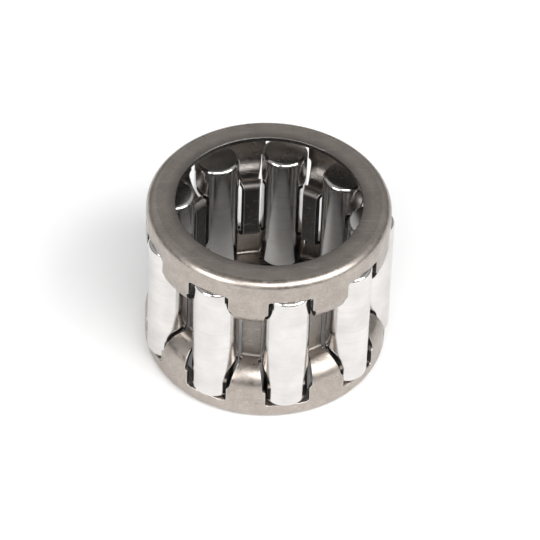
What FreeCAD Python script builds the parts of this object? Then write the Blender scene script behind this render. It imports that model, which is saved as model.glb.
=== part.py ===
"""Needle roller and cage assembly: nine thick rollers in a one-piece waisted steel cage.

Millimetres, +Z up. The bearing axis is Z and the lower end face of the cage lies on Z = 0.
"""

import FreeCAD, Part
import math
import os

os.makedirs("parts", exist_ok=True)

# Raceways and rollers
SHAFT_RACEWAY_D = 24.0
HOUSING_RACEWAY_D = 38.0
ROLLER_COUNT = 9
ROLLER_D = (HOUSING_RACEWAY_D - SHAFT_RACEWAY_D) / 2
ROLLER_LENGTH = 21.4
ROLLER_CORNER = 0.6
ROLLER_BASE_Z = 2.9
PITCH_R = (HOUSING_RACEWAY_D + SHAFT_RACEWAY_D) / 4
FIRST_ROLLER_DEG = 12.0  # from -Y towards +X

# Cage: one strip of sheet folded into flange, rim, round shoulder, waist, round shoulder, rim, flange
CAGE_WIDTH = 28.0
CAGE_R = 18.45
SHEET = 0.8
FLANGE_BORE_R = 14.1
RIM_BEND_R = 1.5
WAIST_R = 13.95
WAIST_BASE_Z = 9.0
WAIST_LENGTH = 9.2
SHOULDER_BEND_R = 4.0
WAIST_BEND_R = 0.45
FLANGE_EDGE_BREAK = 0.12

# Pockets, one to a roller: narrower than the roller at rim and waist, so it stays in the cage,
# and wider than the roller through the two shoulders, where the sheet crosses the pitch circle
POCKET_WIDTH = 6.8
POCKET_BASE_Z = 2.8
POCKET_LENGTH = 21.6
POCKET_CORNER = 0.5
SHOULDER_POCKET_WIDTH = 7.8
SHOULDER_POCKET_BASE_Z = 5.3
SHOULDER_POCKET_LENGTH = 16.6
SHOULDER_POCKET_CORNER = 0.9
SHOULDER_POCKET_INNER_R = 14.2


def offset_line(points, distance):
    """Moves an open polyline sideways, to the right of its direction of travel."""
    normals = []
    for (x0, y0), (x1, y1) in zip(points, points[1:]):
        length = math.hypot(x1 - x0, y1 - y0)
        normals.append(((y1 - y0) / length, -(x1 - x0) / length))
    moved = []
    for i, (x, y) in enumerate(points):
        a = normals[max(i - 1, 0)]
        b = normals[min(i, len(normals) - 1)]
        k = distance / (1 + a[0] * b[0] + a[1] * b[1])
        moved.append((x + k * (a[0] + b[0]), y + k * (a[1] + b[1])))
    return moved


def filleted_line(points, radii):
    """Edges of a polyline in the XZ plane, with an arc of the given radius at each inner vertex."""
    vectors = [FreeCAD.Vector(x, 0, z) for x, z in points]
    edges = []
    start = vectors[0]
    for before, corner, after, radius in zip(vectors, vectors[1:], vectors[2:], radii):
        u = (before - corner).normalize()
        v = (after - corner).normalize()
        half = math.acos(max(-1.0, min(1.0, u.dot(v)))) / 2
        reach = radius / math.tan(half)
        middle = (u + v).normalize()
        first = corner + u * reach
        last = corner + v * reach
        crest = corner + middle * (radius / math.sin(half) - radius)
        edges.append(Part.makeLine(start, first))
        edges.append(Part.Arc(first, crest, last).toShape())
        start = last
    edges.append(Part.makeLine(start, vectors[-1]))
    return edges


def turned(edges):
    face = Part.Face(Part.Wire(edges))
    return face.revolve(FreeCAD.Vector(), FreeCAD.Vector(0, 0, 1), 360)


def cage_blank():
    """The folded sheet as a full ring, before the pockets are pierced."""
    top = CAGE_WIDTH
    lower_fold = WAIST_BASE_Z
    upper_fold = WAIST_BASE_Z + WAIST_LENGTH
    outside = [
        (FLANGE_BORE_R, top),
        (CAGE_R, top),
        (CAGE_R, upper_fold),
        (WAIST_R, upper_fold),
        (WAIST_R, lower_fold),
        (CAGE_R, lower_fold),
        (CAGE_R, 0),
        (FLANGE_BORE_R, 0),
    ]
    inside = offset_line(outside, SHEET)
    bends = [RIM_BEND_R, SHOULDER_BEND_R, WAIST_BEND_R, WAIST_BEND_R, SHOULDER_BEND_R, RIM_BEND_R]
    turns = [-1, -1, 1, 1, -1, -1]
    inner_bends = [bend + turn * SHEET for bend, turn in zip(bends, turns)]
    edges = filleted_line(outside, bends)
    lower_bore = FreeCAD.Vector(inside[-1][0], 0, inside[-1][1])
    edges.append(Part.makeLine(edges[-1].Vertexes[-1].Point, lower_bore))
    edges += filleted_line(inside[::-1], inner_bends[::-1])
    edges.append(Part.makeLine(edges[-1].Vertexes[-1].Point, edges[0].Vertexes[0].Point))
    return turned(edges)


def round_bar(width, base_z, length_z, inner, corner):
    """A bar along -Y, from a given radius out past the cage, with its four long edges rounded."""
    outer = CAGE_R + 1
    bar = Part.makeBox(width, outer - inner, length_z, FreeCAD.Vector(-width / 2, -outer, base_z))
    long_edges = [
        e for e in bar.Edges
        if abs(e.Vertexes[0].Point.y - e.Vertexes[1].Point.y) > 1
    ]
    return bar.makeFillet(corner, long_edges)


def pocket_tool():
    """Pierces the cage wall on -Y for one roller."""
    slot = round_bar(
        POCKET_WIDTH, POCKET_BASE_Z, POCKET_LENGTH, SHAFT_RACEWAY_D / 2 - 1, POCKET_CORNER
    )
    shoulders = round_bar(
        SHOULDER_POCKET_WIDTH,
        SHOULDER_POCKET_BASE_Z,
        SHOULDER_POCKET_LENGTH,
        SHOULDER_POCKET_INNER_R,
        SHOULDER_POCKET_CORNER,
    )
    return slot.fuse(shoulders)


def roller():
    """One roller standing at its place on -Y: flat ends, rounded corners."""
    radius = ROLLER_D / 2
    outline = [(0, 0), (radius, 0), (radius, ROLLER_LENGTH), (0, ROLLER_LENGTH)]
    edges = filleted_line(outline, [ROLLER_CORNER, ROLLER_CORNER])
    edges.append(Part.makeLine(edges[-1].Vertexes[-1].Point, edges[0].Vertexes[0].Point))
    solid = turned(edges)
    solid.translate(FreeCAD.Vector(0, -PITCH_R, ROLLER_BASE_Z))
    return solid


def at_station(shape, index):
    """A copy of a shape built on -Y, turned to the given roller station."""
    copy = shape.copy()
    angle = FIRST_ROLLER_DEG + index * 360.0 / ROLLER_COUNT
    copy.rotate(FreeCAD.Vector(), FreeCAD.Vector(0, 0, 1), angle)
    return copy


def flange_bore_edges(shape):
    """The four circular edges round the two flange bores."""
    return [
        e for e in shape.Edges
        if isinstance(e.Curve, Part.Circle)
        and abs(e.Curve.Radius - FLANGE_BORE_R) < 1e-6
        and min(e.Curve.Center.z, CAGE_WIDTH - e.Curve.Center.z) < SHEET + 1e-6
    ]


blank = cage_blank()
blank = blank.makeFillet(FLANGE_EDGE_BREAK, flange_bore_edges(blank))
cage = blank.cut([at_station(pocket_tool(), i) for i in range(ROLLER_COUNT)])
cage.Solids[0].exportStep("parts/cage.step")

for i in range(ROLLER_COUNT):
    at_station(roller(), i).exportStep("parts/roller_%d.step" % (i + 1))
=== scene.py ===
"""Studio scene of the needle roller bearing, standing on one end face on a pale table. Metres."""

import math

import bpy
from mathutils import Matrix, Vector


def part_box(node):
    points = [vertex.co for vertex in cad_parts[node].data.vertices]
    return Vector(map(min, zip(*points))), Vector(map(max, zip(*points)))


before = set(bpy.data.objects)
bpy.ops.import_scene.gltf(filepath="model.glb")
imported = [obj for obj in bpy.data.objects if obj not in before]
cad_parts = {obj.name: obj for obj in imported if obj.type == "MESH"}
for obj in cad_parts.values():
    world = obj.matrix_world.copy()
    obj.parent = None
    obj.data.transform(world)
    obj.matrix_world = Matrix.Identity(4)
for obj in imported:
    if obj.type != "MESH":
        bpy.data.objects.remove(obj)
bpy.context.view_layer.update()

MM = 0.001
scene = bpy.context.scene

# The cage, from the frame and from the part's own dimensions
SHEET = 0.8 * MM
CAGE_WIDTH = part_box("cage")[1].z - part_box("cage")[0].z
RIM_INSIDE_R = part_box("cage")[1].x - SHEET
WAIST_R = 13.95 * MM
WORN_EDGE_R = 0.22 * MM

# Colours of the cage, linear
STRIP_DARK = (0.308, 0.274, 0.246, 1)
STRIP_LIGHT = (0.465, 0.416, 0.376, 1)
# Painted shade: the waist recess is darkened where shade falls in it
WAIST_PAINTED_SHADE = (0.120, 0.110, 0.102, 1)
# Painted shade: the walls that look into the cage are darkened almost to black
INNER_WALL_PAINTED_SHADE = (0.080, 0.074, 0.070, 1)
# Painted shade: the sideways walls beside the rollers are darkened almost to black
SIDEWAYS_WALL_PAINTED_SHADE = (0.045, 0.042, 0.039, 1)
SCUFFED = (0.62, 0.60, 0.58, 1)
# Lighter edges: part rubbed wear, part painted highlight along the rounded edges
RUBBED_AND_HIGHLIGHT = (0.70, 0.69, 0.67, 1)

# Colours of the rollers, linear
GROUND_DARK = (0.595, 0.575, 0.560, 1)
GROUND_LIGHT = (0.725, 0.705, 0.690, 1)
GRINDING_RING = (0.46, 0.455, 0.45, 1)
SPECK = (0.40, 0.39, 0.38, 1)
LAPPED_END = (0.60, 0.595, 0.58, 1)


# ---------------------------------------------------------------- node helpers
class Material:
    """A node material built a step at a time. A mask is a socket that runs from 0 to 1."""

    def __init__(self, name):
        self.data = bpy.data.materials.new(name)
        self.data.use_nodes = True
        self.tree = self.data.node_tree
        self.shader = self.tree.nodes["Principled BSDF"]

    def feed(self, socket, value):
        """Links a socket to another node's output, or sets it to a plain value."""
        if isinstance(value, bpy.types.NodeSocket):
            self.tree.links.new(value, socket)
        else:
            socket.default_value = value

    def node(self, kind, inputs=None, **settings):
        made = self.tree.nodes.new(kind)
        for key, value in settings.items():
            setattr(made, key, value)
        for key, value in (inputs or {}).items():
            self.feed(made.inputs[key], value)
        return made

    def shade(self, socket, value):
        """Feeds one of the shader's own sockets."""
        self.feed(self.shader.inputs[socket], value)

    # numbers
    def maths(self, operation, *values):
        return self.node("ShaderNodeMath", dict(enumerate(values)), operation=operation).outputs[0]

    def total(self, *weighted):
        """The sum of any number of (value, weight) pairs."""
        parts = [self.maths("MULTIPLY", value, weight) for value, weight in weighted]
        result = parts[0]
        for part in parts[1:]:
            result = self.maths("ADD", result, part)
        return result

    def ramp(self, value, low, high, out_low=0.0, out_high=1.0):
        inputs = {0: value, 1: low, 2: high, 3: out_low, 4: out_high}
        return self.node("ShaderNodeMapRange", inputs).outputs[0]

    # colours
    def blend(self, factor, first, second):
        inputs = {0: factor, 6: first, 7: second}
        return self.node("ShaderNodeMix", inputs, data_type="RGBA").outputs[2]

    def tint(self, colour, mask, strength, towards):
        return self.blend(self.maths("MULTIPLY", mask, strength), colour, towards)

    # places and directions
    def object_space(self, scale=(1, 1, 1), turn=(0, 0, 0)):
        place = self.node("ShaderNodeTexCoord").outputs["Object"]
        inputs = {"Vector": place, "Rotation": turn, "Scale": scale}
        return self.node("ShaderNodeMapping", inputs).outputs["Vector"]

    def component(self, vector, axis):
        return self.node("ShaderNodeSeparateXYZ", {0: vector}).outputs[axis]

    def dot(self, first, second):
        inputs = {0: first, 1: second}
        return self.node("ShaderNodeVectorMath", inputs, operation="DOT_PRODUCT").outputs["Value"]

    def normal(self, kind="Normal"):
        return self.node("ShaderNodeNewGeometry").outputs[kind]

    def radius(self):
        """Distance from the bearing axis."""
        flat = self.object_space(scale=(1, 1, 0))
        return self.node("ShaderNodeVectorMath", {0: flat}, operation="LENGTH").outputs["Value"]

    # patterns and masks
    def noise(self, scale, detail, rough, stretch=(1, 1, 1)):
        place = self.object_space(scale=stretch)
        inputs = {"Vector": place, "Scale": scale, "Detail": detail, "Roughness": rough}
        return self.node("ShaderNodeTexNoise", inputs).outputs["Fac"]

    def scratches(self, degrees, level):
        """Short thin marks that lie one way. They thin out as the level rises."""
        place = self.object_space(scale=(0.10, 1.6, 1.0), turn=(0.3, 0.2, math.radians(degrees)))
        marks = self.node("ShaderNodeTexNoise", {"Vector": place, "Scale": 2300, "Detail": 2.0})
        return self.ramp(marks.outputs["Fac"], level - 0.06, level)

    def facing(self):
        """Two masks: walls that look in at the bearing axis, and walls that look round it."""
        flat = self.object_space(scale=(1, 1, 0))
        spoke = self.node("ShaderNodeVectorMath", {0: flat}, operation="NORMALIZE").outputs["Vector"]
        normal = self.normal("True Normal")
        out = self.dot(normal, spoke)
        up = self.component(normal, "Z")
        not_sideways = self.total((out, out), (up, up))
        return self.ramp(out, 0.05, -0.20), self.ramp(not_sideways, 0.35, 0.15)

    def behind_flange(self):
        """Mask of the faces of the two flanges that look into the cage."""
        height = self.component(self.object_space(), "Z")
        off_middle = self.maths("ABSOLUTE", self.maths("SUBTRACT", height, CAGE_WIDTH / 2))
        face = CAGE_WIDTH / 2 - SHEET
        beyond = self.ramp(off_middle, face - 0.8 * MM, face - 0.4 * MM)
        within = self.ramp(off_middle, face + 0.2 * MM, face + 0.4 * MM, 1.0, 0.0)
        return self.maths("MULTIPLY", beyond, within)

    def along_edges(self, rounded):
        """Mask of where the rounded normal leaves the true one."""
        return self.ramp(self.dot(rounded, self.normal()), 0.985, 0.90)

    def relief(self, height, strength, depth, normal=None):
        inputs = {"Height": height, "Strength": strength, "Distance": depth}
        if normal is not None:
            inputs["Normal"] = normal
        self.shade("Normal", self.node("ShaderNodeBump", inputs).outputs[0])


# ---------------------------------------------------------------- materials
def cage_steel():
    """Cold-rolled strip: mottled and scuffed, rougher in the waist. Painted shade darkens the waist, the
    inner walls and the sideways walls; the edges are lightened by rubbed wear and a painted highlight.
    """
    m = Material("cage_steel")
    m.shade("Metallic", 1.0)
    rounded = m.node("ShaderNodeBevel", {"Radius": WORN_EDGE_R}, samples=6).outputs[0]
    edge = m.along_edges(rounded)
    blotch = m.ramp(m.noise(scale=330, detail=4, rough=0.6), 0.32, 0.68)
    grain = m.ramp(m.noise(scale=2600, detail=3, rough=0.65), 0.30, 0.70)
    scuffs = m.maths("MAXIMUM", m.scratches(degrees=35, level=0.70), m.scratches(degrees=-62, level=0.73))
    rolled = m.noise(scale=700, detail=3, rough=0.6, stretch=(0.15, 0.15, 5.0))
    radius = m.radius()
    waist = m.ramp(radius, WAIST_R + 0.25 * MM, WAIST_R + 1.65 * MM, 1.0, 0.0)
    inside_rims = m.ramp(radius, RIM_INSIDE_R - 0.35 * MM, RIM_INSIDE_R - 0.05 * MM, 1.0, 0.0)
    inner, sideways = m.facing()
    # Painted shade mask: inner walls and the flange faces inside the cage
    inner_painted_shade = m.maths("MULTIPLY", m.maths("MAXIMUM", inner, m.behind_flange()), inside_rims)

    tone = m.total((blotch, 0.55), (grain, 0.45))
    colour = m.blend(tone, STRIP_DARK, STRIP_LIGHT)
    # Painted shade in the waist, on the inner walls and on the sideways walls
    colour = m.tint(colour, waist, 0.60, WAIST_PAINTED_SHADE)
    colour = m.tint(colour, inner_painted_shade, 0.85, INNER_WALL_PAINTED_SHADE)
    colour = m.tint(colour, sideways, 0.93, SIDEWAYS_WALL_PAINTED_SHADE)
    colour = m.tint(colour, scuffs, 0.26, SCUFFED)
    # Lighter edges: rubbed wear and a painted highlight
    colour = m.tint(colour, edge, 0.75, RUBBED_AND_HIGHLIGHT)
    m.shade("Base Color", colour)

    rough = m.ramp(m.noise(scale=900, detail=4, rough=0.6), 0.3, 0.7, 0.24, 0.40)
    m.shade("Roughness", m.total((rough, 1), (waist, 0.08), (sideways, 0.40), (edge, -0.12), (scuffs, 0.08)))

    height = m.total((grain, 0.5), (rolled, 0.4), (scuffs, -0.5))
    m.relief(height, strength=0.16, depth=0.03 * MM, normal=rounded)
    return m.data


def roller_steel():
    """Ground and polished bearing steel: fine rings round the body, lapped ends."""
    m = Material("roller_steel")
    m.shade("Metallic", 1.0)
    end = m.ramp(m.maths("ABSOLUTE", m.component(m.normal(), "Z")), 0.90, 0.985)
    rings = m.noise(scale=1500, detail=4, rough=0.7, stretch=(0.04, 0.04, 2.2))
    cloud = m.ramp(m.noise(scale=240, detail=3, rough=0.55), 0.3, 0.7)
    specks = m.ramp(m.noise(scale=3200, detail=2, rough=0.6), 0.68, 0.78)

    colour = m.blend(cloud, GROUND_DARK, GROUND_LIGHT)
    colour = m.tint(colour, m.ramp(rings, 0.45, 0.75), 0.35, GRINDING_RING)
    colour = m.tint(colour, specks, 0.35, SPECK)
    colour = m.tint(colour, end, 0.80, LAPPED_END)
    m.shade("Base Color", colour)

    rough = m.ramp(rings, 0.3, 0.7, 0.09, 0.19)
    m.shade("Roughness", m.total((rough, 1), (cloud, 0.04), (end, 0.12)))
    m.relief(m.total((rings, 1), (specks, -0.4)), strength=0.06, depth=0.02 * MM)
    return m.data


CAGE, ROLLER = cage_steel(), roller_steel()
for name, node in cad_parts.items():
    node.data.materials.clear()
    node.data.materials.append(CAGE if name == "cage" else ROLLER)
    for face in node.data.polygons:
        face.material_index = 0

# ---------------------------------------------------------------- table
TABLE_HALF = 3.0
corners = [(-1, -1), (1, -1), (1, 1), (-1, 1)]
table = bpy.data.meshes.new("table")
table.from_pydata([(TABLE_HALF * x, TABLE_HALF * y, 0) for x, y in corners], [], [(0, 1, 2, 3)])
table_top = bpy.data.objects.new("table", table)
scene.collection.objects.link(table_top)
pale = Material("table_pale")
pale.shade("Base Color", (0.90, 0.90, 0.90, 1))
pale.shade("Roughness", 0.7)
table.materials.append(pale.data)


# ---------------------------------------------------------------- light
def softbox(name, at, size, power):
    """An area light that looks at the middle of the bearing. Metres and watts."""
    lamp = bpy.data.lights.new(name, "AREA")
    lamp.shape = "RECTANGLE"
    lamp.size, lamp.size_y = size
    lamp.energy = power
    thing = bpy.data.objects.new(name, lamp)
    thing.location = at
    aim = Vector((0, 0, CAGE_WIDTH / 2)) - Vector(at)
    thing.rotation_euler = aim.to_track_quat("-Z", "Y").to_euler()
    scene.collection.objects.link(thing)


softbox("front", at=(0.22, -0.72, 0.96), size=(0.9, 0.55), power=9.0)
softbox("left", at=(-0.62, -0.62, 0.48), size=(0.5, 0.5), power=5.2)
softbox("right", at=(0.80, -0.40, 0.75), size=(0.6, 0.9), power=7.5)

# The room's grey, from the horizon to overhead: dim low down, brighter higher up, dark overhead
ROOM = ((0.0, 0.30), (0.28, 0.26), (0.50, 0.52), (0.85, 0.50), (1.0, 0.14))
world = bpy.data.worlds.new("studio")
world.use_nodes = True
tree = world.node_tree
place = tree.nodes.new("ShaderNodeTexCoord")
split = tree.nodes.new("ShaderNodeSeparateXYZ")
room = tree.nodes.new("ShaderNodeValToRGB")
tree.links.new(place.outputs["Generated"], split.inputs[0])
tree.links.new(split.outputs["Z"], room.inputs[0])
tree.links.new(room.outputs[0], tree.nodes["Background"].inputs["Color"])
while len(room.color_ramp.elements) < len(ROOM):
    room.color_ramp.elements.new(0.5)
for stop, (at, level) in zip(room.color_ramp.elements, ROOM):
    stop.position = at
    stop.color = (level, level, level, 1)
scene.world = world
scene.view_settings.view_transform = "Standard"

# ---------------------------------------------------------------- camera
# Fitted to the photograph: how far the camera is from the foot of the bearing's axis, its angle
# above the table there, how far it leans to one side, and the point it looks at
DISTANCE = 634.4 * MM
ELEVATION = math.radians(44.52)
ROLL = math.radians(2.11)
AIM = Vector((0.49 * MM, 0, 13.6 * MM))
eye = Vector((0, -DISTANCE * math.cos(ELEVATION), DISTANCE * math.sin(ELEVATION)))
forward = (AIM - eye).normalized()
right = forward.cross(Vector((0, 0, 1))).normalized()
up = right.cross(forward)
right, up = (
    math.cos(ROLL) * right + math.sin(ROLL) * up,
    math.cos(ROLL) * up - math.sin(ROLL) * right,
)
camera = bpy.data.objects.new("camera", bpy.data.cameras.new("camera"))
scene.collection.objects.link(camera)
camera.matrix_world = Matrix((
    (right.x, up.x, -forward.x, eye.x),
    (right.y, up.y, -forward.y, eye.y),
    (right.z, up.z, -forward.z, eye.z),
    (0, 0, 0, 1),
))
camera.data.sensor_width = 36
camera.data.lens = 273.8
camera.data.clip_start = 0.05
scene.camera = camera
